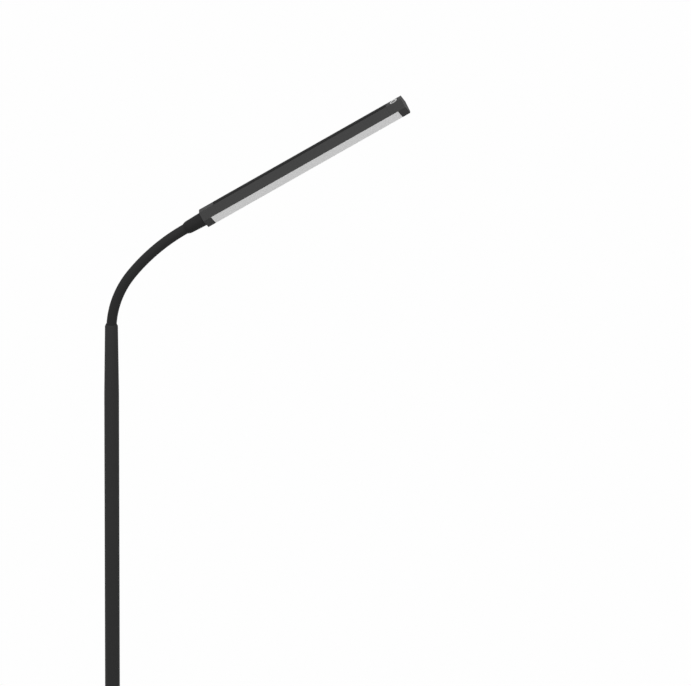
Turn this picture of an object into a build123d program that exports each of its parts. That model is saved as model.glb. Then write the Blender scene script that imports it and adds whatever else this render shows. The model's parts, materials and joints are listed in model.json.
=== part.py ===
from build123d import *
import os
from math import cos, degrees, radians, sin, sqrt

os.makedirs("parts", exist_ok=True)

# A gooseneck reading floor lamp: a weighted round base, a slim column, a sleeved gooseneck
# and a long bar-shaped head with a diffuser on its underside.
# Millimetres, +Z up. The origin is the centre of the base's underside. The head points to +X,
# the supply inlet is at the back of the base, at -X.

# Base
base_radius = 125.0
base_top = 25.0
base_edge_round = 8.0
base_crown = 3.0
cover_wall = 1.5
pad_radius = 118.0
pad_thickness = 3.0
plate_thickness = 1.5
weight_radius = 118.0
weight_thickness = 14.0
nut_pocket_radius = 17.0
nut_seat = 15.5
plate_screw_circle = 95.0
plate_screw_count = 4
plate_screw_radius = 2.0
plate_screw_head_radius = 3.8
plate_screw_length = 10.0
inlet_height = 10.5
inlet_plug_diameter = 5.6
inlet_pin_diameter = 2.0
inlet_neck_radius = 4.0
inlet_body_radius = 5.5
inlet_body_depth = 15.0

# Column
tube_diameter = 22.0
tube_wall = 1.2
tube_joint_height = 640.0
joiner_half_length = 40.0
joiner_bore_radius = 6.5
foot_collar_radius = 18.0
foot_collar_height = 12.0
column_top = 1255.0
column_top_diameter = 19.3
taper_length = 110.0
socket_rim = 3.3
socket_depth = 40.0
socket_body_radius = 8.3
stud_diameter = 16.0
stud_bore = 10.0
stud_foot = 9.5
spigot_length = 35.0

# Neck: two tangent bends in the XZ plane, starting upright just inside the column's top
neck_diameter = 15.2
sleeve_wall = 1.2
neck_seat_depth = 8.8
ferrule_radius = 5.4
ferrule_length = 40.2
head_tilt = 31.0
lower_bend_radius = 142.3
lower_bend_angle = 37.8
upper_bend_radius = 291.3
station_count = 10
stations_below_bend_change = 4
station_pitch = 19.0
ball_radius = 4.8
ball_play = 0.15
cup_lip = 2.0
barrel_radius = 5.7
barrel_length = 11.0
stem_radius = 2.5
lead_bore_radius = 1.6
lead_radius = 1.15

# Head: a six-sided bar. Its own frame has X along the bar from the near end, Z up across it
# and the widest line of the section, the crease, at Z = 0 on the coupler's axis.
head_length = 348.0
coupler_length = 31.0
coupler_shoulder = 14.0
bolt_radius = 3.9
crease_half_width = 13.0
top_half_width = 7.15
top_height = 13.4
bottom_half_width = 3.8
bottom_depth = 14.1
profile_crown = 1.25
profile_wall = 1.5
profile_floor_top = 2.6
board_recess = 1.0
cap_length = 25.2
cap_lip_length = 12.8
cap_wall = 2.2
cap_end_wall = 4.0
tenon_length = 9.0
cap_screw_inset = 4.4
cap_screw_spread = 4.5
cap_screw_radius = 1.25
diffuser_wall = 1.4
diffuser_inset = 0.15
board_half_width = 8.0
board_inset = 36.0
led_count = 40
led_pitch = 6.7
button_from_end = 12.9
ring_radius = 5.9
button_radius = 4.2
button_travel = 0.6
plunger_top = 6.9

# Derived sizes
play = 0.1
tube_radius = tube_diameter / 2
tube_bore_radius = tube_radius - tube_wall
column_top_radius = column_top_diameter / 2
neck_radius = neck_diameter / 2
sleeve_bore_radius = neck_radius - sleeve_wall
cup_radius = ball_radius + ball_play
plate_top = pad_thickness + plate_thickness
socket_foot = column_top - socket_depth
neck_foot = column_top - neck_seat_depth
ferrule_seat = neck_foot - 0.4
upper_bend_angle = 90.0 - head_tilt - lower_bend_angle
lower_bend_length = lower_bend_radius * radians(lower_bend_angle)
neck_length = lower_bend_length + upper_bend_radius * radians(upper_bend_angle)
stations = [
    lower_bend_length + (number - stations_below_bend_change) * station_pitch
    for number in range(station_count)
]


def turned(outline, frame=Plane.XY):
    """A solid of revolution about the frame's Z axis, from (radius, height) points."""
    face = make_face(Polyline(*outline, close=True))
    return frame.location * revolve(Plane.XZ * face, Axis.Z)


def rod(radius, low, high, bore=0.0, frame=Plane.XY):
    """A round bar or tube between two heights on the frame's Z axis."""
    return turned([(bore, low), (radius, low), (radius, high), (bore, high)], frame)


def block(x_range, y_range, z_range):
    """A rectangular block from its three ranges."""
    low, high = zip(x_range, y_range, z_range)
    size = [b - a for a, b in zip(low, high)]
    return Pos(*low) * Box(*size, align=(Align.MIN, Align.MIN, Align.MIN))


def hexagon_nut(across_flats, bore, low, high, frame=Plane.XY):
    """A six-sided nut between two heights on the frame's Z axis."""
    outline = RegularPolygon(across_flats / 2, 6, major_radius=False) - Circle(bore)
    return frame.location * Pos(0, 0, low) * extrude(outline, high - low)


def save(name, shape):
    """Write one piece to its own file."""
    export_step(shape, f"parts/{name}.step")


# Base


def base_form(radius, top, edge_round):
    """The base's outer form: an upright skirt, a rounded edge and a top that rises to the middle."""
    shoulder = top - base_crown
    hub = tube_radius + 6.0
    skirt = Polyline((0, pad_thickness), (radius, pad_thickness), (radius, shoulder - edge_round))
    edge = RadiusArc(skirt @ 1, (radius - edge_round, shoulder), -edge_round)
    crown = Polyline(edge @ 1, (hub, top), (0, top), (0, pad_thickness))
    return revolve(Plane.XZ * make_face([skirt, edge, crown]), Axis.Z)


inlet_frame = Plane(origin=(-base_radius, 0, inlet_height), x_dir=(0, 1, 0), z_dir=(-1, 0, 0))


def base_cover():
    """The spun steel cover, with holes for the column's stud and the supply inlet."""
    shell = base_form(base_radius, base_top, base_edge_round)
    shell -= base_form(base_radius - cover_wall, base_top - cover_wall, base_edge_round - cover_wall)
    stud_hole = rod(stud_diameter / 2 + play, pad_thickness, base_top + 1)
    inlet_hole = rod(inlet_neck_radius + 0.15, -5, 5, frame=inlet_frame)
    return shell - stud_hole - inlet_hole


def base_weight():
    """The cast iron weight, hollowed below for the nut, the lead and the inlet."""
    weight = rod(weight_radius, plate_top, plate_top + weight_thickness)
    weight -= rod(stud_diameter / 2 + play, 0, base_top)
    weight -= rod(nut_pocket_radius, 0, nut_seat)
    lead_groove = block((-weight_radius - 1, 0), (-4, 4), (0, 12.0))
    inlet_pocket = block((-weight_radius - 1, -101), (-9, 9), (0, base_top))
    screw_holes = screw_circle(play, plate_top + plate_screw_length + 0.5)
    return weight - lead_groove - inlet_pocket - screw_holes


def screw_circle(ease, tip):
    """The countersunk screws that hold the bottom plate, or their holes where ease is given."""
    shank = plate_screw_radius + ease
    head = plate_screw_head_radius + ease
    outline = [
        (0, pad_thickness), (head, pad_thickness), (shank, plate_top + 0.4), (shank, tip), (0, tip),
    ]
    places = PolarLocations(plate_screw_circle, plate_screw_count, start_angle=45)
    return Compound([place * turned(outline) for place in places])


def base_plate():
    """The steel plate that closes the base from below."""
    plate = rod(base_radius - cover_wall - 2 * play, pad_thickness, plate_top)
    return plate - screw_circle(play, plate_top + 1)


def column_stud():
    """The hollow stud: a shank through the base and a wider spigot in the column's foot."""
    shank = stud_diameter / 2
    bore = stud_bore / 2
    spigot = tube_bore_radius - play
    spigot_top = base_top + spigot_length
    return turned([
        (bore, stud_foot), (shank, stud_foot), (shank, base_top), (spigot, base_top),
        (spigot, spigot_top - 1), (spigot - 1, spigot_top), (bore, spigot_top),
    ])


def power_inlet():
    """The round supply socket in the back of the base, with its centre pin."""
    plug = inlet_plug_diameter / 2
    neck, body, foot = inlet_neck_radius, inlet_body_radius, -inlet_body_depth
    flange = [(plug, -9.5), (plug, 1.4), (4.9, 1.4), (5.2, 1.1), (5.2, 0.05), (neck, 0.05)]
    shell = [(neck, -3.0), (body, -3.0), (body, foot), (0, foot), (0, -9.5)]
    pin = rod(inlet_pin_diameter / 2, -10, -0.5, frame=inlet_frame)
    return turned(flange + shell, inlet_frame) + pin


# Column


def foot_collar():
    """The turned ring that covers the column's foot."""
    bore = tube_radius + play
    top = base_top + foot_collar_height
    return turned([
        (bore, base_top), (foot_collar_radius, base_top), (foot_collar_radius, top - 5),
        (foot_collar_radius - 4, top), (bore, top),
    ])


def upper_tube():
    """The upper column tube, whose top end is swaged to a slender taper."""
    top = column_top - socket_rim
    taper_foot = column_top - taper_length
    return turned([
        (tube_bore_radius, tube_joint_height), (tube_radius, tube_joint_height),
        (tube_radius, taper_foot), (column_top_radius, top),
        (column_top_radius - tube_wall, top), (tube_bore_radius, taper_foot),
    ])


def tube_joiner():
    """The stepped sleeve inside the column where the two tubes meet."""
    outer = tube_bore_radius - play
    bore = joiner_bore_radius
    low = tube_joint_height - joiner_half_length
    high = tube_joint_height + joiner_half_length
    return turned([
        (bore, low), (outer - 1, low), (outer, low + 2), (outer, high - 2), (outer - 1, high), (bore, high),
    ])


def neck_socket():
    """The bush in the column's top: a chamfered rim outside, a stepped bore for the neck inside."""
    body = socket_body_radius
    rim_foot = column_top - socket_rim
    bore = ferrule_radius + play
    mouth = neck_radius + 0.35
    return turned([
        (bore, socket_foot), (body, socket_foot), (body, rim_foot), (column_top_radius, rim_foot),
        (mouth + 0.15, column_top), (mouth, column_top), (mouth, ferrule_seat), (bore, ferrule_seat),
    ])


# Neck


def neck_bend(s):
    """Centre, radius and starting lean of the bend that holds the distance s along the neck."""
    lower_centre = Vector(lower_bend_radius, 0, neck_foot)
    if s <= lower_bend_length:
        return lower_centre, lower_bend_radius, s / lower_bend_radius
    change = radians(lower_bend_angle)
    step = Vector(cos(change), 0, -sin(change)) * (upper_bend_radius - lower_bend_radius)
    return lower_centre + step, upper_bend_radius, change + (s - lower_bend_length) / upper_bend_radius


def neck_plane(s):
    """The plane square to the neck at a distance s along it: Z along the neck, Y to the back."""
    centre, radius, lean = neck_bend(s)
    across = Vector(cos(lean), 0, -sin(lean))
    return Plane(origin=centre - across * radius, x_dir=across, z_dir=(sin(lean), 0, cos(lean)))


def neck_tube(start, end, outer, inner=0.0):
    """A curved tube along one bend of the neck, from start to end."""
    ring = Circle(outer) - Circle(inner) if inner else Circle(outer)
    centre, radius, _ = neck_bend((start + end) / 2)
    turn = degrees((end - start) / radius)
    return revolve(neck_plane(start) * ring, Axis(centre, (0, 1, 0)), revolution_arc=turn)


def chord_plane(start, end):
    """The plane at start whose Z axis points straight at the neck's centre line at end."""
    foot = neck_plane(start).origin
    return Plane(origin=foot, x_dir=neck_plane(start).x_dir, z_dir=neck_plane(end).origin - foot)


def chord_length(start, end):
    """The straight distance between two places on the neck."""
    return (neck_plane(end).origin - neck_plane(start).origin).length


def on_sphere(radius, across, side):
    """The (radius, height) point of a sphere at a distance across from its axis."""
    return across, side * sqrt(radius**2 - across**2)


def cup(frame):
    """The lower end of a link: a barrel whose socket holds the ball of the link below."""
    lip = (sqrt(cup_radius**2 - cup_lip**2), -cup_lip)
    roof = on_sphere(cup_radius, lead_bore_radius, 1)
    socket = ThreePointArc(lip, (cup_radius, 0), roof)
    shell = Polyline(
        roof, (lead_bore_radius, barrel_length + 1), (stem_radius, barrel_length + 1),
        (barrel_radius - 1, barrel_length), (barrel_radius, barrel_length - 1),
        (barrel_radius, -cup_lip), lip,
    )
    return frame.location * revolve(Plane.XZ * make_face([socket, shell]), Axis.Z)


def ball(frame, centre):
    """The upper end of a link: a stem that carries a bored ball, at a distance along the frame."""
    flare = on_sphere(ball_radius, lead_bore_radius + 1, 1)
    waist = on_sphere(ball_radius, stem_radius, -1)
    crown = ThreePointArc(flare, (ball_radius, 0), waist)
    stem = Polyline(
        waist, (stem_radius, barrel_length - centre), (lead_bore_radius, barrel_length - centre),
        (lead_bore_radius, flare[1] - 1), flare,
    )
    shape = revolve(Plane.XZ * make_face([crown, stem]), Axis.Z)
    return frame.location * Pos(0, 0, centre) * shape


def neck_root():
    """The neck's fixed end: a ferrule clamped in the socket, a curved stem and the first ball."""
    foot = neck_foot - ferrule_length
    flange = sleeve_bore_radius - 0.2
    centre = stations[0]
    shape = rod(ferrule_radius, foot, neck_foot) + rod(flange, ferrule_seat, neck_foot)
    shape += neck_tube(0, 8, barrel_radius) + neck_tube(7, centre, stem_radius)
    shape += neck_plane(centre).location * Sphere(ball_radius)
    shape -= rod(lead_bore_radius, foot - 1, neck_foot)
    return shape - neck_tube(0, centre + ball_radius + 1, lead_bore_radius)


def neck_link(number):
    """One moving link of the neck: a cup at its foot and a ball at its head."""
    start, end = stations[number - 1], stations[number]
    frame = chord_plane(start, end)
    return cup(frame) + ball(frame, chord_length(start, end))


def neck_sleeve(number):
    """The stretch of the smooth outer sleeve round one link."""
    edges = [0.0] + stations + [neck_length]
    stretch = neck_tube(edges[number], edges[number + 1], neck_radius, sleeve_bore_radius)
    if number < station_count:
        return stretch
    return stretch + rod(neck_radius, 0, 5.0, sleeve_bore_radius, neck_plane(neck_length))


def neck_lead(number):
    """The stretch of the supply lead inside one link."""
    return neck_tube(stations[number - 1], stations[number], lead_radius)


def supply_lead():
    """The lead from the inlet, through the base and up the column to the first ball."""
    inner_end = inlet_body_depth - base_radius
    route = FilletPolyline(
        (inner_end, 0, inlet_height), (-98, 0, inlet_height), (-86, 0, 7), (0, 0, 7), (0, 0, neck_foot),
        radius=8,
    )
    start = Plane(origin=route @ 0, z_dir=route % 0)
    run = sweep(start * Circle(lead_radius), route)
    return run + neck_tube(0, stations[0], lead_radius)


# Head, made in its own frame and then placed

neck_end = neck_plane(neck_length)
head_along = neck_end.z_dir
head_frame = Plane(
    origin=neck_end.origin + head_along * coupler_length, x_dir=head_along, z_dir=-neck_end.x_dir
)
head_axis = Plane(origin=head_frame.origin, x_dir=neck_end.x_dir, z_dir=head_along)


def half_width(height, inset):
    """Half the bar's width at a height, to a wall that stands inset from its flanks."""
    if height >= 0:
        slope = (crease_half_width - top_half_width) / top_height
    else:
        slope = (crease_half_width - bottom_half_width) / bottom_depth
    return crease_half_width - slope * abs(height) - inset * sqrt(1 + slope**2)


def band(low, high, start, end, inset=0.0):
    """A stretch of the bar's section between two heights that lie on one side of the crease."""
    side = 1e-9 if low >= 0 else -1e-9
    foot, head = half_width(low + side, inset), half_width(high + side, inset)
    face = make_face(Polyline((-foot, low), (foot, low), (head, high), (-head, high), close=True))
    return Plane(origin=(start, 0, 0), x_dir=(0, 1, 0), z_dir=(1, 0, 0)) * extrude(face, end - start)


def cap_body():
    """What both end caps share: outer form, lower lip, tenon, and the hollow inside."""
    floor = profile_floor_top - board_recess
    body = band(0, top_height, 0, cap_length) + band(-bottom_depth, 0, 0, cap_lip_length)
    tenon_end = cap_length + tenon_length
    body += band(profile_floor_top + play, top_height - 1.1, cap_length - 1, tenon_end, profile_wall + play)
    body -= band(4.2, 10.8, cap_length - 1, tenon_end, profile_wall + 1.6)
    body -= band(floor, top_height - cap_wall, cap_end_wall, cap_length, cap_wall)
    body -= band(cap_wall - bottom_depth, 0, cap_end_wall, cap_lip_length - 2, cap_wall)
    body -= band(0, floor, cap_end_wall, cap_lip_length - 2, cap_wall)
    for side in (-1, 1):
        place = Pos(cap_length + cap_screw_inset, side * cap_screw_spread, 0)
        body -= place * Cylinder(cap_screw_radius + play, 12)
    return body


def near_cap():
    """The end cap next to the neck, bored for the coupler and slotted for the lead."""
    bolt_hole = Plane.YZ.location * Cylinder(bolt_radius + 2 * play, 12)
    lead_slot = block((cap_lip_length - 3, cap_length - 2), (-2.5, 2.5), (-2, profile_floor_top))
    return cap_body() - bolt_hole - lead_slot


button_place = head_length - button_from_end


def far_cap():
    """The outer end cap, with a stepped hole for the button and its ring."""
    cap = Pos(head_length, 0, 0) * Rot(0, 0, 180) * cap_body()
    ring_seat = Pos(button_place, 0, top_height) * Cylinder(ring_radius + 0.05, 2.4)
    throat = Pos(button_place, 0, top_height) * Cylinder(4.9, 8)
    return cap - ring_seat - throat


def head_profile():
    """The extruded bar: flanks, a crowned top, a closed duct and a recess for the light board."""
    start, end = cap_length, head_length - cap_length
    bar = band(0, top_height, start, end)
    edge = (top_half_width, top_height)
    crown = ThreePointArc((-top_half_width, top_height), (0, top_height + profile_crown), edge)
    lid = make_face([crown, Line(crown @ 1, crown @ 0)])
    bar += Plane(origin=(start, 0, 0), x_dir=(0, 1, 0), z_dir=(1, 0, 0)) * extrude(lid, end - start)
    bar -= band(profile_floor_top, top_height - 1.0, start, end, profile_wall)
    half = board_half_width + 2 * play
    bar -= block((start, end), (-half, half), (0, board_recess))
    for place in cap_screw_places():
        bar -= Pos(*place) * Cylinder(cap_screw_radius + play, 12)
    return bar


def cap_screw_places():
    """Where the screws hold the profile to the caps' tenons, from below."""
    near = cap_length + cap_screw_inset
    spread = cap_screw_spread
    return [(x, y, 0) for x in (near, head_length - near) for y in (-spread, spread)]


def cap_screws():
    """Four small pan-head screws."""
    shank = cap_screw_radius
    outline = [(0, -0.4), (2.0, -0.4), (2.2, 0), (2.2, 0.9), (shank, 0.9), (shank, 4.9), (0, 4.9)]
    return Compound([Pos(*place) * turned(outline) for place in cap_screw_places()])


def diffuser():
    """The milky trough under the bar, with inward flanges that slide under the profile."""
    start, end = cap_lip_length + play, head_length - cap_lip_length - play
    floor = diffuser_inset - bottom_depth
    shell = band(floor, -0.05, start, end, diffuser_inset)
    shell -= band(floor + diffuser_wall, -1.4, start, end, diffuser_inset + diffuser_wall)
    return shell - block((start, end), (-9.0, 9.0), (-1.4, 0))


def led_board():
    """The strip that carries the light sources, in the profile's recess."""
    half = board_half_width
    return block((board_inset, head_length - board_inset), (-half, half), (0, board_recess))


def led_chips():
    """The row of light sources."""
    first = (head_length - (led_count - 1) * led_pitch) / 2
    chip = block((-1.4, 1.4), (-1.75, 1.75), (-0.8, 0))
    return Compound([Pos(first + number * led_pitch, 0, 0) * chip for number in range(led_count)])


def driver_board():
    """The current driver inside the profile: a board with its connector, choke and chips."""
    low = profile_floor_top + play
    board = block((42, 118), (-7, 7), (low, low + 1.6))
    top = low + 1.6
    for x_range, y_range, height in (
        ((43, 49), (-4, 4), 3.4), ((56, 66), (-5, 5), 4.8), ((72, 78), (-3, 3), 1.6),
        ((84, 92), (-4, 4), 3.0), ((100, 104), (-2, 2), 1.6),
    ):
        board += block(x_range, y_range, (top, top + height))
    return board


def button_switch():
    """The push switch under the button, on its own small board."""
    board = block((button_place - 5, button_place + 5), (-5, 5), (2.4, 3.6))
    body = block((button_place - 3, button_place + 3), (-3, 3), (3.6, 6.4))
    plunger = Pos(button_place, 0, 0) * rod(1.6, 6.4, plunger_top)
    return board + body + plunger


def touch_button():
    """The round button, with the flange that keeps it in and the stem that meets the switch."""
    roof = top_height - cap_wall
    foot = plunger_top + button_travel + play
    flange = button_radius + 1.2
    shape = turned([
        (0, foot), (1.5, foot), (1.5, roof - 1.1),
        (flange, roof - 1.1), (flange, roof - play), (button_radius, roof - play),
        (button_radius, top_height - 0.1), (button_radius - 0.3, top_height + 0.1), (0, top_height + 0.1),
    ])
    return Pos(button_place, 0, 0) * shape


def button_ring():
    """The milky ring that glows round the button."""
    low = top_height - 1.2
    shape = turned([
        (button_radius + 0.3, low), (ring_radius, low), (ring_radius, top_height),
        (ring_radius - 0.2, top_height + 0.15), (button_radius + 0.3, top_height + 0.15),
    ])
    return Pos(button_place, 0, 0) * shape


def head_coupler():
    """The flared coupler between the neck and the head."""
    foot, step = -coupler_length, -coupler_shoulder
    mouth = neck_radius + 0.15
    bore = bolt_radius + 2 * play
    return turned([
        (mouth, foot), (mouth + 0.3, foot), (9.6, foot + 4.4), (10.65, -0.05), (bore, -0.05),
        (bore, step), (5.9, step), (5.9, foot + 6), (mouth, foot + 6),
    ], head_axis)


def neck_tip():
    """The neck's moving end: the last cup, and a bolt that clamps the coupler to the near cap."""
    foot, step = -coupler_length, -coupler_shoulder - play
    bolt = turned([
        (lead_bore_radius, foot - 1), (5.6, foot - 1), (5.8, foot), (5.8, step),
        (bolt_radius, step), (bolt_radius, 9.4), (lead_bore_radius, 9.4),
    ], head_axis)
    return cup(chord_plane(stations[-1], neck_length)) + bolt


def head_lead():
    """The lead from the last cup, through the bolt and the near cap, to the driver."""
    route = FilletPolyline((-coupler_length, 0, 0), (10, 0, 0), (25, 0, 6.0), (42.9, 0, 6.0), radius=12)
    run = sweep(Plane(origin=route @ 0, z_dir=route % 0) * Circle(lead_radius), route)
    return head_frame.location * run + neck_tube(stations[-1], neck_length, lead_radius)


base_parts = {
    "base_cover": base_cover(),
    "base_weight": base_weight(),
    "base_plate": base_plate(),
    "base_pad": rod(pad_radius, 0, pad_thickness),
    "base_screws": screw_circle(0, plate_top + plate_screw_length),
    "column_stud": column_stud(),
    "column_nut": hexagon_nut(24, stud_diameter / 2 + play, 9.7, nut_seat),
    "power_inlet": power_inlet(),
}
column_parts = {
    "foot_collar": foot_collar(),
    "lower_tube": rod(tube_radius, base_top, tube_joint_height, tube_bore_radius),
    "tube_joiner": tube_joiner(),
    "upper_tube": upper_tube(),
    "neck_socket": neck_socket(),
    "neck_nut": hexagon_nut(14, ferrule_radius + play, socket_foot - 6, socket_foot),
    "supply_lead": supply_lead(),
}
neck_parts = {
    "neck_root": neck_root(),
    "neck_tip": neck_tip(),
    "head_coupler": head_coupler(),
    "head_nut": hexagon_nut(12, bolt_radius + play, cap_end_wall, cap_end_wall + 4.8, head_axis),
    "head_lead": head_lead(),
}
for number in range(1, station_count):
    neck_parts[f"neck_link_{number}"] = neck_link(number)
    neck_parts[f"neck_lead_{number}"] = neck_lead(number)
for number in range(station_count + 1):
    neck_parts[f"neck_sleeve_{number}"] = neck_sleeve(number)
bar_parts = {
    "near_cap": near_cap(),
    "far_cap": far_cap(),
    "head_profile": head_profile(),
    "cap_screws": cap_screws(),
    "diffuser": diffuser(),
    "led_board": led_board(),
    "led_chips": led_chips(),
    "driver_board": driver_board(),
    "button_switch": button_switch(),
    "touch_button": touch_button(),
    "button_ring": button_ring(),
}
for name, shape in {**base_parts, **column_parts, **neck_parts}.items():
    save(name, shape)
for name, shape in bar_parts.items():
    save(name, head_frame.location * shape)
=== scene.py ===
import json
import math

import bmesh
import bpy
from mathutils import Matrix, Vector


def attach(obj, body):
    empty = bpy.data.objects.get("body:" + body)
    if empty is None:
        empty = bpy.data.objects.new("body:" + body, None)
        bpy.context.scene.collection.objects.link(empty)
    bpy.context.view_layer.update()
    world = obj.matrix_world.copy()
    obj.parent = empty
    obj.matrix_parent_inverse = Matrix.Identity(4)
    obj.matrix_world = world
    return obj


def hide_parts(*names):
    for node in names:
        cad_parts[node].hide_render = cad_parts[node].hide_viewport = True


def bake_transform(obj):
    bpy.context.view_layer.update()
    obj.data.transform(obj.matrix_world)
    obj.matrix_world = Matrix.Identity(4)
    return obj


# A gooseneck reading floor lamp. Blender's units are metres; the sizes below are millimetres.
MM = 0.001

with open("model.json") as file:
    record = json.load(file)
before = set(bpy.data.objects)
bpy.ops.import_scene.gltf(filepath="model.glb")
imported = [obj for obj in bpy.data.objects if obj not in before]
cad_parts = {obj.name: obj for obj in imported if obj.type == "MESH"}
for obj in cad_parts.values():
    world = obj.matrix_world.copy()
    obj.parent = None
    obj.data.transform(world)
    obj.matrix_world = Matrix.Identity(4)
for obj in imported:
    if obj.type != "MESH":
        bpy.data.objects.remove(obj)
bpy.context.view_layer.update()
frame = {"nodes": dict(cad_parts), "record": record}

# Base and column
BASE_RADIUS = 125.0
BASE_TOP = 25.0
BASE_CROWN = 3.0
COVER_WALL = 1.5
COVER_FLAT = 17.0
COVER_MOUTH = 8.1
PAD_RADIUS = 118.0
PAD_THICKNESS = 3.0
INLET_HEIGHT = 10.5
INLET_NECK = 4.0
INLET_BODY = 5.5
INLET_DEPTH = 15.0
FLANGE_RADIUS = 5.2
FLANGE_FRONT = 1.4
PLUG_BORE = 2.8
PLUG_DEPTH = 9.5
PIN_RADIUS = 1.0
PIN_TIP = 0.5
FOOT_RADIUS = 18.0
FOOT_BORE = 11.1
FOOT_LIP = 14.0
FOOT_SIDE = 7.0
FOOT_HEIGHT = 12.0
TUBE_RADIUS = 11.0
TUBE_WALL = 1.2
TUBE_JOINT = 640.0
TAPER_FOOT = 1145.0
COLLAR_RADIUS = 9.65
COLUMN_TOP = 1255.0
RIM_FOOT = 1251.7
RIM_TOP = 8.1
SOCKET_FOOT = 1215.0
SOCKET_RADIUS = 8.3
SOCKET_BORE = 5.5
POCKET_FOOT = 1245.8
POCKET_RADIUS = 7.95

# Neck: two tangent bends, the first one tighter
NECK_RADIUS = 7.6
SLEEVE_BORE = 6.4
NECK_FOOT = 1246.2
LOWER_RADIUS = 142.3
LOWER_TURN = math.radians(37.8)
UPPER_RADIUS = 291.3
NECK_LEAN = math.radians(59.0)
LOWER_LENGTH = LOWER_RADIUS * LOWER_TURN
NECK_LENGTH = LOWER_LENGTH + UPPER_RADIUS * (NECK_LEAN - LOWER_TURN)
SLEEVE_TAIL = 5.0
LINK_PITCH = 19.0
STATION_COUNT = 10
TANGENT_STATION = 4
STATIONS = [LOWER_LENGTH + (number - TANGENT_STATION) * LINK_PITCH for number in range(STATION_COUNT)]

# Head: X along the bar, Y across, Z square to its top, zero on the crease
HEAD_TILT = math.radians(31.0)
HEAD_LENGTH = 348.0
COUPLER_LENGTH = 31.0
COUPLER_NOSE = 8.05
COUPLER_WAIST = 9.6
COUPLER_FLARE = 4.4
COUPLER_END = 10.65
COUPLER_SHOULDER = 14.0
SLEEVE_SEAT = 7.75
SLEEVE_SEAT_DEPTH = 6.0
TIP_BORE = 5.9
BOLT_BORE = 4.1
JOINT_GAP = 0.05
CREASE = 13.0
TOP_HALF = 7.15
TOP_HEIGHT = 13.4
BOTTOM_HALF = 3.8
BOTTOM_DEPTH = 14.1
CAP_LENGTH = 25.2
LIP_LENGTH = 12.8
CAP_ROUND = 0.35
CROWN = 1.25
CROWN_CUTS = 11
TROUGH_INSET = 0.15
TROUGH_GAP = 0.1
TROUGH_ROUND = 0.4
BUTTON_PLACE = HEAD_LENGTH - 12.9
RING_RADIUS = 5.9
RING_BORE = 4.5
RING_DEPTH = 1.2
RING_PROUD = 0.15
BUTTON_RADIUS = 4.2
BUTTON_DEPTH = 2.3
BUTTON_PROUD = 0.1

# Mesh limits: how near two places count as one, and how far faces turn to be one flat, a fold or a shaded edge
SAME_PLACE = 1e-3
MERGE_DISTANCE = 1e-4
FLAT_TURN = math.radians(1.0)
FOLD_TURN = math.radians(20.0)
EDGE_TURN = math.radians(35.0)
SPIN_STEP = 1.6

# Tones of the plain background, of the light from all round, and of the floor as the lamp's light meets it
BACKDROP_TONE = 0.991
AMBIENT_TONE = 0.30
FLOOR_TONE = 0.33

# ---------------------------------------------------------------- finishes


class Level:
    """A number or colour that varies over a surface. Arithmetic on it adds Math nodes."""

    def __init__(self, nodes, socket):
        self.nodes = nodes
        self.socket = socket

    def calculate(self, operation, other):
        return self.nodes.node("ShaderNodeMath", {"operation": operation}, {0: self, 1: other})

    def __add__(self, other):
        return self.calculate("ADD", other)

    def __mul__(self, other):
        return self.calculate("MULTIPLY", other)

    __radd__ = __add__
    __rmul__ = __mul__

    def at_least(self, other):
        return self.calculate("MAXIMUM", other)


class Nodes:
    """A node tree whose nodes all come from one method."""

    def __init__(self, tree):
        self.tree = tree

    def node(self, kind, settings=None, sockets=None, output=0):
        """Add a node: its settings first, then what its sockets take. Gives back one output."""
        made = self.tree.nodes.new(kind)
        for key, value in (settings or {}).items():
            setattr(made, key, value)
        for key, value in (sockets or {}).items():
            self.feed(made.inputs[key], value)
        return Level(self, made.outputs[output])

    def feed(self, socket, value):
        if isinstance(value, Level):
            self.tree.links.new(value.socket, socket)
        else:
            socket.default_value = value

    def seen(self):
        """One for a ray from the camera, a gloss or a clear part, and zero for one that carries light."""
        camera_ray, gloss_ray, clear_ray = [
            self.node("ShaderNodeLightPath", output=f"Is {ray} Ray")
            for ray in ("Camera", "Glossy", "Transmission")
        ]
        return camera_ray.at_least(gloss_ray).at_least(clear_ray)


class Finish(Nodes):
    """One procedural material with a Principled shader; constants go on the shader's own sockets."""

    def __init__(self, name, **constants):
        self.material = bpy.data.materials.new(name)
        self.material.use_nodes = True
        super().__init__(self.material.node_tree)
        self.shader = self.tree.nodes["Principled BSDF"]
        for socket, value in constants.items():
            self.shader.inputs[socket.replace("_", " ")].default_value = value
        self.place = self.node("ShaderNodeTexCoord", output="Object")

    def drive(self, **sockets):
        """Feed the shader's sockets that change over the surface."""
        for socket, value in sockets.items():
            self.feed(self.shader.inputs[socket.replace("_", " ")], value)

    def noise(self, scale, detail=2.0, place=None):
        """Soft random spots, this many to a metre."""
        return self.node("ShaderNodeTexNoise", {}, {
            "Vector": place or self.place, "Scale": scale, "Detail": detail,
        })

    def turned_to(self, angle, stretch):
        """The surface's place, turned about Y and stretched, for marks that run along a part."""
        return self.node("ShaderNodeMapping", {"vector_type": "TEXTURE"}, {
            "Vector": self.place, "Rotation": (0, angle, 0), "Scale": stretch,
        })

    def between(self, share, first, second):
        """A colour between two colours, by the colour sockets of a Mix node."""
        return self.node("ShaderNodeMix", {"data_type": "RGBA"}, {0: share, 6: first, 7: second}, output=2)

    def bump(self, height, distance, strength):
        return self.node("ShaderNodeBump", {}, {"Height": height, "Distance": distance, "Strength": strength})


def grey(tone, warmth=0.0):
    """An opaque near-neutral colour."""
    return (tone * (1 + warmth), tone, tone * (1 - warmth), 1.0)


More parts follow.
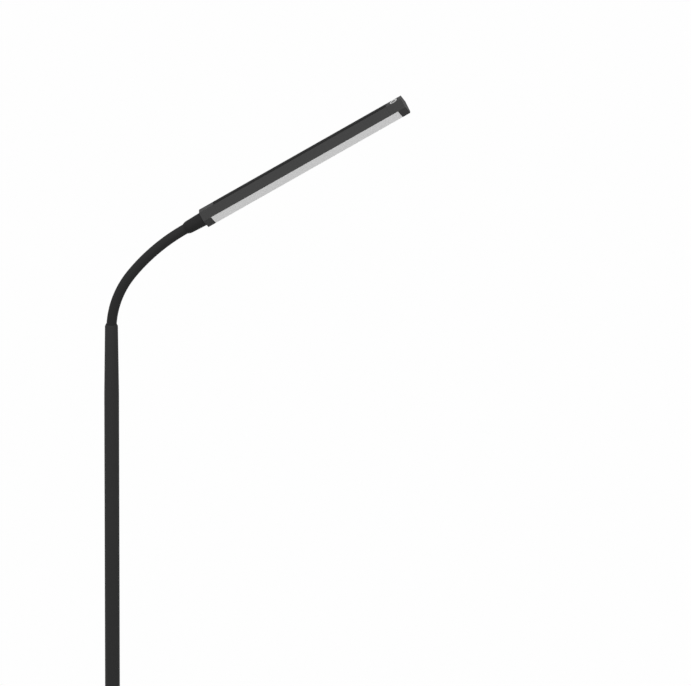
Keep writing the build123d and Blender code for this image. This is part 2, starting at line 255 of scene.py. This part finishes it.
def powder_coat(name, tone, lighter):
    """Baked satin powder on metal: fine orange peel over a faint mottling."""
    finish = Finish(name, IOR=1.2)
    mottle = finish.noise(9.0, 3.0)
    speck = finish.noise(2600.0, 1.0)
    peel = finish.noise(700.0, 2.0)
    finish.drive(
        Base_Color=finish.between(mottle * 0.7 + speck * 0.3, grey(tone), grey(lighter)),
        Roughness=0.6 + mottle * 0.12 + speck * 0.1,
        Normal=finish.bump(peel + speck * 0.35, 0.00012, 0.8),
    )
    return finish.material


def moulded(name, tone, lighter, gloss=0.62):
    """Injection-moulded plastic with a fine spark-eroded texture."""
    finish = Finish(name, IOR=1.2)
    flow = finish.noise(24.0, 2.0)
    texture = finish.noise(1900.0, 2.0)
    finish.drive(
        Base_Color=finish.between(flow * 0.6 + texture * 0.4, grey(tone), grey(lighter)),
        Roughness=gloss + flow * 0.08 + texture * 0.1,
        Normal=finish.bump(texture, 0.00006, 0.8),
    )
    return finish.material


def drawn_bar(name, tone, lighter):
    """Coated extrusion: the satin coat over faint die lines that run along the bar."""
    finish = Finish(name, IOR=1.2)
    along = finish.turned_to(-HEAD_TILT, (1.0, 0.012, 0.012))
    lines = finish.noise(14.0, 3.0, along)
    peel = finish.noise(1400.0, 2.0)
    cloud = finish.noise(12.0, 2.0)
    finish.drive(
        Base_Color=finish.between(lines * 0.5 + cloud * 0.5, grey(tone), grey(lighter)),
        Roughness=0.58 + lines * 0.12 + peel * 0.1,
        Normal=finish.bump(lines * 0.6 + peel * 0.4, 0.00006, 0.8),
    )
    return finish.material


def worked_metal(name, tone, lighter, stretch=(1.0, 1.0, 0.05)):
    """Bare metal with fine tool marks."""
    finish = Finish(name, Metallic=1.0)
    marks = finish.noise(900.0, 2.0, finish.turned_to(0.0, stretch))
    cloud = finish.noise(40.0, 2.0)
    finish.drive(
        Base_Color=finish.between(cloud, grey(tone), grey(lighter)),
        Roughness=0.28 + marks * 0.18,
        Normal=finish.bump(marks, 0.00003, 0.6),
    )
    return finish.material


def cast_iron(name):
    """Rough cast iron under a thin dull primer."""
    finish = Finish(name, Metallic=0.6)
    lumps = finish.noise(160.0, 4.0)
    pits = finish.node("ShaderNodeTexVoronoi", {}, {"Vector": finish.place, "Scale": 420.0})
    finish.drive(
        Base_Color=finish.between(lumps, grey(0.07, 0.05), grey(0.14, 0.03)),
        Roughness=0.6 + lumps * 0.2,
        Normal=finish.bump(lumps + pits * 0.5, 0.0004, 0.8),
    )
    return finish.material


def foam(name):
    """Closed-cell foam rubber: a skin of small dimples."""
    finish = Finish(name, IOR=1.3)
    cells = finish.node("ShaderNodeTexVoronoi", {}, {"Vector": finish.place, "Scale": 1100.0})
    cloud = finish.noise(30.0, 2.0)
    finish.drive(
        Base_Color=finish.between(cloud, grey(0.018), grey(0.03)),
        Roughness=0.8 + cloud * 0.12,
        Normal=finish.bump(cells, 0.0003, 0.6),
    )
    return finish.material


def rubber(name, tone, lighter):
    """The gooseneck's smooth sleeve: satin rubber with a very fine skin and faint drawn marks."""
    finish = Finish(name, IOR=1.2)
    cloud = finish.noise(35.0, 3.0)
    skin = finish.noise(3200.0, 2.0)
    finish.drive(
        Base_Color=finish.between(cloud * 0.7 + skin * 0.3, grey(tone), grey(lighter)),
        Roughness=0.62 + cloud * 0.12 + skin * 0.1,
        Normal=finish.bump(skin * 0.6 + cloud * 0.4, 0.00005, 0.8),
    )
    return finish.material


def milky(name, tone, lighter):
    """Opal plastic that spreads the light: nearly even, with a soft satin skin."""
    finish = Finish(name, IOR=1.15)
    cloud = finish.noise(28.0, 2.0)
    skin = finish.noise(2600.0, 2.0)
    finish.drive(
        Base_Color=finish.between(cloud, grey(tone), grey(lighter)),
        Roughness=0.42 + cloud * 0.08 + skin * 0.05,
        Normal=finish.bump(skin, 0.00002, 0.4),
    )
    return finish.material


def circuit_board(name, mask, copper):
    """A circuit board's solder mask over faint traces."""
    finish = Finish(name, IOR=1.45)
    traces = finish.node("ShaderNodeTexBrick", {}, {
        "Vector": finish.turned_to(-HEAD_TILT, (1.0, 1.0, 1.0)), "Scale": 160.0, "Mortar Size": 0.06,
        "Color1": grey(0.0), "Color2": grey(0.0), "Mortar": grey(1.0),
    })
    cloud = finish.noise(60.0, 2.0)
    finish.drive(
        Base_Color=finish.between(traces * 0.5 + cloud * 0.15, mask, copper),
        Roughness=0.32 + cloud * 0.15,
        Normal=finish.bump(traces, 0.00003, 0.5),
    )
    return finish.material


def phosphor(name):
    """The yellow gel that covers each light source."""
    finish = Finish(name, IOR=1.4)
    grains = finish.noise(5200.0, 2.0)
    finish.drive(
        Base_Color=finish.between(grains, (0.78, 0.6, 0.12, 1.0), (0.9, 0.76, 0.28, 1.0)),
        Roughness=0.3 + grains * 0.1,
        Normal=finish.bump(grains, 0.00002, 0.4),
    )
    return finish.material


FINISHES = {
    name: make(name, *tones)
    for name, make, *tones in [
        ("black_coat", powder_coat, 0.0295, 0.0335),
        ("cast_weight", cast_iron),
        ("plate_steel", worked_metal, 0.32, 0.42, (1.0, 0.05, 1.0)),
        ("pad_foam", foam),
        ("screw_steel", worked_metal, 0.5, 0.62),
        ("inlet_plastic", moulded, 0.013, 0.018, 0.4),
        ("joiner_alloy", worked_metal, 0.6, 0.72, (0.05, 1.0, 1.0)),
        ("lead_jacket", rubber, 0.014, 0.02),
        ("neck_steel", worked_metal, 0.3, 0.4, (1.0, 0.1, 1.0)),
        ("neck_rubber", rubber, 0.0195, 0.0235),
        ("black_moulding", moulded, 0.015, 0.019),
        ("head_grey", drawn_bar, 0.048, 0.053),
        # The crown finish's near-black tone is painted shade: it stands in for the shade on the bar's rounded
        # top where it turns away from the lights
        ("crown_painted_shade", drawn_bar, 0.006, 0.010),
        ("milky_diffuser", milky, 0.90, 0.93),
        ("board_white", circuit_board, grey(0.8), grey(0.62, 0.05)),
        ("led_yellow", phosphor),
        ("board_green", circuit_board, (0.02, 0.16, 0.06, 1.0), (0.08, 0.3, 0.13, 1.0)),
        ("button_grey", moulded, 0.15, 0.19, 0.35),
        ("ring_white", milky, 0.84, 0.88),
    ]
}

# ---------------------------------------------------------------- pieces


def neck_bend(s):
    """Centre, radius and starting place of the bend that holds the distance s along the neck."""
    centre = Vector((LOWER_RADIUS, 0, NECK_FOOT))
    if s <= LOWER_LENGTH:
        return centre, LOWER_RADIUS, s / LOWER_RADIUS
    across = Vector((math.cos(LOWER_TURN), 0, -math.sin(LOWER_TURN)))
    lean = LOWER_TURN + (s - LOWER_LENGTH) / UPPER_RADIUS
    return centre + across * (UPPER_RADIUS - LOWER_RADIUS), UPPER_RADIUS, lean


def neck_place(s):
    """The place and the lean of the neck's centre line at a distance s along it."""
    centre, radius, lean = neck_bend(s)
    return centre - Vector((math.cos(lean), 0, -math.sin(lean))) * radius, lean


NECK_END, _ = neck_place(NECK_LENGTH)
HEAD_ALONG = Vector((math.sin(NECK_LEAN), 0, math.cos(NECK_LEAN)))
HEAD_ORIGIN = NECK_END + HEAD_ALONG * COUPLER_LENGTH
HEAD_FRAME = Matrix.Translation(HEAD_ORIGIN) @ Matrix.Rotation(-HEAD_TILT, 4, "Y")
COUPLER_FRAME = Matrix.Translation(HEAD_ORIGIN) @ Matrix.Rotation(NECK_LEAN, 4, "Y")
FAR_CAP_FRAME = HEAD_FRAME @ Matrix.Translation((HEAD_LENGTH, 0, 0)) @ Matrix.Rotation(math.pi, 4, "Z")
BUTTON_FRAME = HEAD_FRAME @ Matrix.Translation((BUTTON_PLACE, 0, TOP_HEIGHT))
INLET_FRAME = Matrix.Translation((-BASE_RADIUS, 0, INLET_HEIGHT)) @ Matrix.Rotation(-math.pi / 2, 4, "Y")


def piece(name, shape, finishes, body, replaced, seat=Matrix.Identity(4)):
    """Make a finished object from a shape in millimetres, and seat it on its body, if it has only one."""
    bmesh.ops.recalc_face_normals(shape, faces=shape.faces)
    shape.transform(Matrix.Scale(MM, 4) @ seat)
    mesh = bpy.data.meshes.new(name)
    shape.to_mesh(mesh)
    shape.free()
    mesh.polygons.foreach_set("use_smooth", [True] * len(mesh.polygons))
    mesh.set_sharp_from_angle(angle=EDGE_TURN)
    for finish in finishes:
        mesh.materials.append(FINISHES[finish])
    made = bpy.data.objects.new(name, mesh)
    bpy.context.scene.collection.objects.link(made)
    if body:
        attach(made, body)
    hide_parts(*replaced)
    return made


def keep_flats_flat(made):
    """Let the large faces set the shading, so that rounded edges stay crisp."""
    normals = made.modifiers.new("flats", "WEIGHTED_NORMAL")
    normals.keep_sharp = True
    normals.weight = 80


def round_edges(shape, edges, radius, segments=3):
    """Bevel edges to a round."""
    bmesh.ops.bevel(
        shape, geom=edges, offset=radius, offset_type="OFFSET", affect="EDGES", segments=segments,
        profile=0.5, material=-1, clamp_overlap=True,
    )


def turned(outline, rounds=(), steps=96):
    """A turned form from closed (radius, height) points; rounds gives (corner, radius, segments)."""
    shape = bmesh.new()
    corners = [shape.verts.new((radius, 0, height)) for radius, height in outline]
    lines = [shape.edges.new(pair) for pair in zip(corners, corners[1:] + corners[:1])]
    bmesh.ops.spin(
        shape, geom=corners + lines, cent=(0, 0, 0), axis=(0, 0, 1), angle=2 * math.pi, steps=steps,
        use_merge=True,
    )
    bmesh.ops.remove_doubles(shape, verts=shape.verts, dist=MERGE_DISTANCE)
    bmesh.ops.delete(shape, geom=[edge for edge in shape.edges if edge.is_wire], context="EDGES")
    bmesh.ops.recalc_face_normals(shape, faces=shape.faces)
    for corner, radius, segments in rounds:
        place = Vector(outline[corner])
        ring = [
            edge for edge in shape.edges
            if all((Vector((vert.co.xy.length, vert.co.z)) - place).length < SAME_PLACE for vert in edge.verts)
        ]
        round_edges(shape, ring, radius, segments)
    return shape


def half_width(height):
    """Half the bar's width at a height."""
    if height >= 0:
        return CREASE - (CREASE - TOP_HALF) * height / TOP_HEIGHT
    return CREASE + (CREASE - BOTTOM_HALF) * height / BOTTOM_DEPTH


def section_face(shape, place, heights, inset=0.0):
    """A face across the bar between two heights, at a place along it."""
    low, high = heights
    points = [
        (-half_width(low) + inset, low), (half_width(low) - inset, low),
        (half_width(high) - inset, high), (-half_width(high) + inset, high),
    ]
    return shape.faces.new([shape.verts.new((place, y, z)) for y, z in points])


def open_inside(shape, faces):
    """Delete those of the faces that lie inside the form, between one stretch of it and the next."""
    inner = [face for face in faces if any(len(edge.link_faces) > 2 for edge in face.edges)]
    bmesh.ops.delete(shape, geom=inner, context="FACES")


def pull(shape, faces, step):
    """Extrude faces by a step and give back the new end faces."""
    result = bmesh.ops.extrude_face_region(shape, geom=faces, use_keep_orig=False)["geom"]
    verts = [part for part in result if isinstance(part, bmesh.types.BMVert)]
    bmesh.ops.translate(shape, verts=verts, vec=step)
    open_inside(shape, faces)
    return [part for part in result if isinstance(part, bmesh.types.BMFace)]


def sharp_edges(shape):
    """The edges where two faces meet at an angle."""
    return [
        edge for edge in shape.edges if len(edge.link_faces) == 2 and edge.calc_face_angle(0.0) > FOLD_TURN
    ]


def bar_cap():
    """An end cap's outer form, from the bar's end inwards: a long upper part over a short lip."""
    shape = bmesh.new()
    upper = section_face(shape, 0.0, (0.0, TOP_HEIGHT))
    lower = section_face(shape, 0.0, (-BOTTOM_DEPTH, 0.0))
    bmesh.ops.remove_doubles(shape, verts=shape.verts, dist=MERGE_DISTANCE)
    fronts = pull(shape, [upper, lower], (LIP_LENGTH, 0, 0))
    inner_upper = [face for face in fronts if face.calc_center_median().z > 0]
    pull(shape, inner_upper, (CAP_LENGTH - LIP_LENGTH, 0, 0))
    bmesh.ops.recalc_face_normals(shape, faces=shape.faces)
    bmesh.ops.dissolve_limit(shape, angle_limit=FLAT_TURN, verts=shape.verts, edges=shape.edges)
    round_edges(shape, sharp_edges(shape), CAP_ROUND)
    return shape


def cut(made, cutter_shape, seat=Matrix.Identity(4)):
    """Take a shape in millimetres out of a piece."""
    cutter_shape.transform(Matrix.Scale(MM, 4) @ seat)
    mesh = bpy.data.meshes.new("cutter")
    cutter_shape.to_mesh(mesh)
    cutter_shape.free()
    cutter = bpy.data.objects.new("cutter", mesh)
    bpy.context.scene.collection.objects.link(cutter)
    boolean = made.modifiers.new("cut", "BOOLEAN")
    boolean.operation, boolean.solver, boolean.object = "DIFFERENCE", "EXACT", cutter
    bpy.context.view_layer.update()
    result = bpy.data.meshes.new_from_object(made.evaluated_get(bpy.context.evaluated_depsgraph_get()))
    made.modifiers.remove(boolean)
    made.data = result
    bpy.data.objects.remove(cutter)


# Base
cover = piece(
    "base_shell",
    turned(
        [
            (BASE_RADIUS, PAD_THICKNESS), (BASE_RADIUS, BASE_TOP - BASE_CROWN), (COVER_FLAT, BASE_TOP),
            (COVER_MOUTH, BASE_TOP), (COVER_MOUTH, BASE_TOP - COVER_WALL), (COVER_FLAT, BASE_TOP - COVER_WALL),
            (BASE_RADIUS - COVER_WALL, BASE_TOP - BASE_CROWN - COVER_WALL),
            (BASE_RADIUS - COVER_WALL, PAD_THICKNESS),
        ],
        [(1, 8.0, 8), (6, 6.5, 4), (0, 0.5, 2)],
        steps=160,
    ),
    ["black_coat"], "stand", ["base_cover"],
)
inlet_hole = INLET_NECK + 0.15
cut(cover, turned([(0, -5), (inlet_hole, -5), (inlet_hole, 5), (0, 5)], steps=32), INLET_FRAME)
piece(
    "floor_pad",
    turned(
        [(0, 0), (PAD_RADIUS, 0), (PAD_RADIUS, PAD_THICKNESS), (0, PAD_THICKNESS)],
        [(1, 0.8, 3)],
        steps=160,
    ),
    ["pad_foam"], "stand", ["base_pad"],
)
piece(
    "supply_socket",
    turned(
        [
            (PLUG_BORE, -PLUG_DEPTH), (PLUG_BORE, FLANGE_FRONT), (FLANGE_RADIUS, FLANGE_FRONT),
            (FLANGE_RADIUS, JOINT_GAP), (INLET_NECK, JOINT_GAP), (INLET_NECK, -3.0), (INLET_BODY, -3.0),
            (INLET_BODY, -INLET_DEPTH), (0, -INLET_DEPTH), (0, -PIN_TIP), (PIN_RADIUS, -PIN_TIP),
            (PIN_RADIUS, -PLUG_DEPTH),
        ],
        [(1, 0.35, 3), (2, 0.35, 3), (10, 0.3, 3)],
        steps=64,
    ),
    ["inlet_plastic"], "stand", ["power_inlet"], INLET_FRAME,
)

# Column
piece(
    "foot_ring",
    turned(
        [
            (FOOT_BORE, BASE_TOP), (FOOT_RADIUS, BASE_TOP), (FOOT_RADIUS, BASE_TOP + FOOT_SIDE),
            (FOOT_LIP, BASE_TOP + FOOT_HEIGHT), (FOOT_BORE, BASE_TOP + FOOT_HEIGHT),
        ],
        [(1, 0.3, 2), (2, 1.2, 4), (3, 0.8, 3), (4, 0.25, 2)],
    ),
    ["black_coat"], "stand", ["foot_collar"],
)
piece(
    "column_low",
    turned(
        [
            (TUBE_RADIUS - TUBE_WALL, BASE_TOP), (TUBE_RADIUS, BASE_TOP),
            (TUBE_RADIUS, TUBE_JOINT), (TUBE_RADIUS - TUBE_WALL, TUBE_JOINT),
        ],
        [(2, 0.25, 2)],
    ),
    ["black_coat"], "stand", ["lower_tube"],
)
piece(
    "column_high",
    turned(
        [
            (TUBE_RADIUS - TUBE_WALL, TUBE_JOINT), (TUBE_RADIUS, TUBE_JOINT), (TUBE_RADIUS, TAPER_FOOT),
            (COLLAR_RADIUS, RIM_FOOT), (COLLAR_RADIUS - TUBE_WALL, RIM_FOOT),
            (TUBE_RADIUS - TUBE_WALL, TAPER_FOOT),
        ],
        [(1, 0.25, 2), (3, 0.15, 2)],
    ),
    ["black_coat"], "stand", ["upper_tube"],
)
piece(
    "column_rim",
    turned(
        [
            (SOCKET_BORE, SOCKET_FOOT), (SOCKET_RADIUS, SOCKET_FOOT), (SOCKET_RADIUS, RIM_FOOT),
            (COLLAR_RADIUS, RIM_FOOT), (RIM_TOP, COLUMN_TOP), (POCKET_RADIUS, COLUMN_TOP),
            (POCKET_RADIUS, POCKET_FOOT), (SOCKET_BORE, POCKET_FOOT),
        ],
        [(3, 0.15, 2)],
    ),
    ["black_coat"], "stand", ["neck_socket"],
)

# Neck


def sleeve_stretch(start, end, straight=0.0):
    """A closed stretch of the neck's sleeve between two distances along it."""
    shape = bmesh.new()
    place, lean = neck_place(start)
    seat = Matrix.Translation(place) @ Matrix.Rotation(lean, 4, "Y")
    bmesh.ops.create_circle(shape, cap_ends=False, segments=48, radius=NECK_RADIUS, matrix=seat)
    wall = bmesh.ops.extrude_edge_only(shape, edges=shape.edges)["geom"]
    inner = [part for part in wall if isinstance(part, bmesh.types.BMVert)]
    share = SLEEVE_BORE / NECK_RADIUS
    bmesh.ops.scale(shape, verts=inner, vec=(share, share, share), space=Matrix.Translation(-place))
    section = list(shape.faces)
    marks = [start] + [LOWER_LENGTH] * (start < LOWER_LENGTH < end) + [end]
    for low, high in zip(marks, marks[1:]):
        centre, radius, _ = neck_bend((low + high) / 2)
        result = bmesh.ops.spin(
            shape, geom=section, cent=centre, axis=(0, 1, 0), angle=(high - low) / radius,
            steps=max(2, round((high - low) / SPIN_STEP)),
        )
        open_inside(shape, section)
        section = [part for part in result["geom_last"] if isinstance(part, bmesh.types.BMFace)]
    if straight:
        pull(shape, section, HEAD_ALONG * straight)
    return shape


NECK_BODIES = ["stand"] + [f"link_{number}" for number in range(1, STATION_COUNT)] + ["head"]
FROM_OUTER_LINK = 8  # its ends are listed from its outer link back
for number, station in enumerate(STATIONS, 1):
    low, high = station - LINK_PITCH / 2, station + LINK_PITCH / 2
    first, last = number == 1, number == STATION_COUNT
    made = piece(
        f"sleeve_{number}",
        sleeve_stretch(0.0 if first else low, NECK_LENGTH if last else high, SLEEVE_TAIL if last else 0.0),
        ["neck_rubber"], None, [f"neck_sleeve_{number - 1}"] + ["neck_sleeve_10"] * last,
    )
    ends = [
        (NECK_BODIES[number - 1], neck_place(low)[0] * MM), (NECK_BODIES[number], neck_place(high)[0] * MM),
    ]
    if number == FROM_OUTER_LINK:
        ends.reverse()
    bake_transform(made)

# Head
piece(
    "neck_coupler",
    turned(
        [
            (SLEEVE_SEAT, -COUPLER_LENGTH), (COUPLER_NOSE, -COUPLER_LENGTH),
            (COUPLER_WAIST, COUPLER_FLARE - COUPLER_LENGTH), (COUPLER_END, -JOINT_GAP), (BOLT_BORE, -JOINT_GAP),
            (BOLT_BORE, -COUPLER_SHOULDER), (TIP_BORE, -COUPLER_SHOULDER),
            (TIP_BORE, SLEEVE_SEAT_DEPTH - COUPLER_LENGTH), (SLEEVE_SEAT, SLEEVE_SEAT_DEPTH - COUPLER_LENGTH),
        ],
        [(2, 0.8, 4), (3, 0.3, 2), (1, 0.12, 2)],
    ),
    ["black_moulding"], "head", ["head_coupler"], COUPLER_FRAME,
)

keep_flats_flat(piece("near_end_cap", bar_cap(), ["head_grey"], "head", ["near_cap"], HEAD_FRAME))

far_cap = piece("far_end_cap", bar_cap(), ["head_grey"], "head", ["far_cap"], FAR_CAP_FRAME)
ring_hole = RING_RADIUS + JOINT_GAP
cut(far_cap, turned([(0, -4), (ring_hole, -4), (ring_hole, 2), (0, 2)], steps=64), BUTTON_FRAME)
keep_flats_flat(far_cap)


def bar_profile():
    """The extruded bar between the caps, whose top swells between its two upper corners."""
    shape = bmesh.new()
    section_face(shape, CAP_LENGTH, (0.0, TOP_HEIGHT))
    pull(shape, list(shape.faces), (HEAD_LENGTH - 2 * CAP_LENGTH, 0, 0))
    bmesh.ops.recalc_face_normals(shape, faces=shape.faces)
    across = [
        edge for edge in shape.edges
        if all(abs(vert.co.z - TOP_HEIGHT) < SAME_PLACE for vert in edge.verts)
        and abs(edge.verts[0].co.x - edge.verts[1].co.x) < SAME_PLACE
    ]
    bmesh.ops.subdivide_edges(shape, edges=across, cuts=CROWN_CUTS, use_grid_fill=True)
    arc_radius = (TOP_HALF**2 + CROWN**2) / (2 * CROWN)
    for vert in shape.verts:
        if abs(vert.co.z - TOP_HEIGHT) < SAME_PLACE:
            vert.co.z += math.sqrt(arc_radius**2 - vert.co.y**2) - (arc_radius - CROWN)
    for face in shape.faces:
        # Faces on the rounded top take the second finish, whose dark tone is painted shade on the crown
        face.material_index = int(face.normal.z > 0.8 or face.calc_center_median().z > TOP_HEIGHT)
    return shape


keep_flats_flat(
    piece("bar_profile", bar_profile(), ["head_grey", "crown_painted_shade"], "head", ["head_profile"], HEAD_FRAME)
)


def light_trough():
    """The milky cover under the bar."""
    shape = bmesh.new()
    section_face(shape, LIP_LENGTH + TROUGH_GAP, (TROUGH_INSET - BOTTOM_DEPTH, -JOINT_GAP), TROUGH_INSET)
    pull(shape, list(shape.faces), (HEAD_LENGTH - 2 * LIP_LENGTH - 2 * TROUGH_GAP, 0, 0))
    bmesh.ops.recalc_face_normals(shape, faces=shape.faces)
    round_edges(shape, sharp_edges(shape), TROUGH_ROUND)
    return shape


keep_flats_flat(piece("light_trough", light_trough(), ["milky_diffuser"], "head", ["diffuser"], HEAD_FRAME))
piece(
    "glow_ring",
    turned(
        [
            (RING_BORE, -RING_DEPTH), (RING_RADIUS, -RING_DEPTH), (RING_RADIUS, RING_PROUD),
            (RING_BORE, RING_PROUD),
        ],
        [(2, 0.2, 3), (3, 0.12, 2)],
        steps=64,
    ),
    ["ring_white"], "head", ["button_ring"], BUTTON_FRAME,
)
piece(
    "push_disc",
    turned(
        [(0, -BUTTON_DEPTH), (BUTTON_RADIUS, -BUTTON_DEPTH), (BUTTON_RADIUS, BUTTON_PROUD), (0, BUTTON_PROUD)],
        [(2, 0.3, 3)],
        steps=64,
    ),
    ["button_grey"], "button", ["touch_button"], BUTTON_FRAME,
)

# What stays from the construction, with its own finish
slots = {part["node"]: part["material_slot"] for part in frame["record"]["subparts"]}
for name, node in frame["nodes"].items():
    if not node.hide_render:
        node.data.materials.clear()
        node.data.materials.append(FINISHES[slots[name]])

# ---------------------------------------------------------------- floor, light and camera


def floor_material():
    """A pale floor that fades to the plain background away from the lamp and keeps its shadow near it."""
    finish = Finish("pale_floor", Roughness=0.8, IOR=1.2)
    seen = finish.seen()
    pale = finish.between(finish.noise(3.0), grey(0.86), grey(0.88))
    finish.drive(Base_Color=finish.between(seen, grey(FLOOR_TONE), pale))
    distance = finish.node("ShaderNodeVectorMath", {"operation": "LENGTH"}, {0: finish.place}, "Value")
    fade = finish.node("ShaderNodeMapRange", {"interpolation_type": "SMOOTHSTEP"}, {
        "Value": distance, "From Min": 0.25, "From Max": 1.6, "To Min": 0.45, "To Max": 1.0,
    })
    plain = finish.node("ShaderNodeEmission", {}, {"Color": grey(BACKDROP_TONE), "Strength": 1.0})
    mix = finish.node("ShaderNodeMixShader", {}, {
        0: seen * fade, 1: Level(finish, finish.shader.outputs[0]), 2: plain,
    })
    finish.feed(finish.tree.nodes["Material Output"].inputs["Surface"], mix)
    return finish.material


ground = bmesh.new()
bmesh.ops.create_grid(ground, x_segments=2, y_segments=2, size=60.0)
ground_mesh = bpy.data.meshes.new("floor")
ground.to_mesh(ground_mesh)
ground.free()
ground_mesh.materials.append(floor_material())
floor = bpy.data.objects.new("floor", ground_mesh)
bpy.context.scene.collection.objects.link(floor)

world = bpy.data.worlds.new("room")
bpy.context.scene.world = world
world.use_nodes = True
world.node_tree.nodes.clear()
room = Nodes(world.node_tree)
ambient = room.node("ShaderNodeBackground", {}, {"Color": grey(AMBIENT_TONE)})
backdrop = room.node("ShaderNodeBackground", {}, {"Color": grey(BACKDROP_TONE)})
chosen = room.node("ShaderNodeMixShader", {}, {0: room.seen(), 1: ambient, 2: backdrop})
room.feed(world.node_tree.nodes.new("ShaderNodeOutputWorld").inputs["Surface"], chosen)

LAMP_CENTRE = Vector((0.15, 0.0, 1.05))
LIGHT_DISTANCE = 9.0


def soft_light(name, direction, level, size):
    """A large soft light that gives a surface facing it the stated level."""
    light = bpy.data.lights.new(name, "AREA")
    light.shape = "DISK"
    light.size = size
    light.energy = level * math.pi**2 * LIGHT_DISTANCE**2
    holder = bpy.data.objects.new(name, light)
    bpy.context.scene.collection.objects.link(holder)
    away = Vector(direction).normalized()
    holder.location = LAMP_CENTRE + away * LIGHT_DISTANCE
    holder.rotation_euler = away.to_track_quat("Z", "Y").to_euler()
    holder.visible_camera = False


soft_light("key_light", (-0.25, -0.8, 0.5), 0.55, 5.0)
soft_light("top_light", (-0.4, 0.1, 0.9), 0.30, 4.5)
soft_light("side_light", (0.85, -0.5, 0.2), 0.15, 5.0)
soft_light("back_light", (0.3, 0.9, 0.35), 0.25, 5.0)

VIEW_ELEVATION = math.radians(20.0)
VIEW_DISTANCE = 44.0
VIEW_WIDTH = 1.0230
VIEW_CENTRE = Vector((0.34645, 0.0, 1.2249))
SENSOR_WIDTH = 36.0
camera_data = bpy.data.cameras.new("camera")
camera_data.sensor_width = SENSOR_WIDTH
camera_data.lens = SENSOR_WIDTH * VIEW_DISTANCE / VIEW_WIDTH
camera_data.clip_end = 120.0
camera = bpy.data.objects.new("camera", camera_data)
bpy.context.scene.collection.objects.link(camera)
back = Vector((0.0, -math.cos(VIEW_ELEVATION), math.sin(VIEW_ELEVATION)))
camera.location = VIEW_CENTRE + back * VIEW_DISTANCE
camera.rotation_euler = back.to_track_quat("Z", "Y").to_euler()
bpy.context.scene.camera = camera
bpy.context.scene.view_settings.view_transform = "Standard"
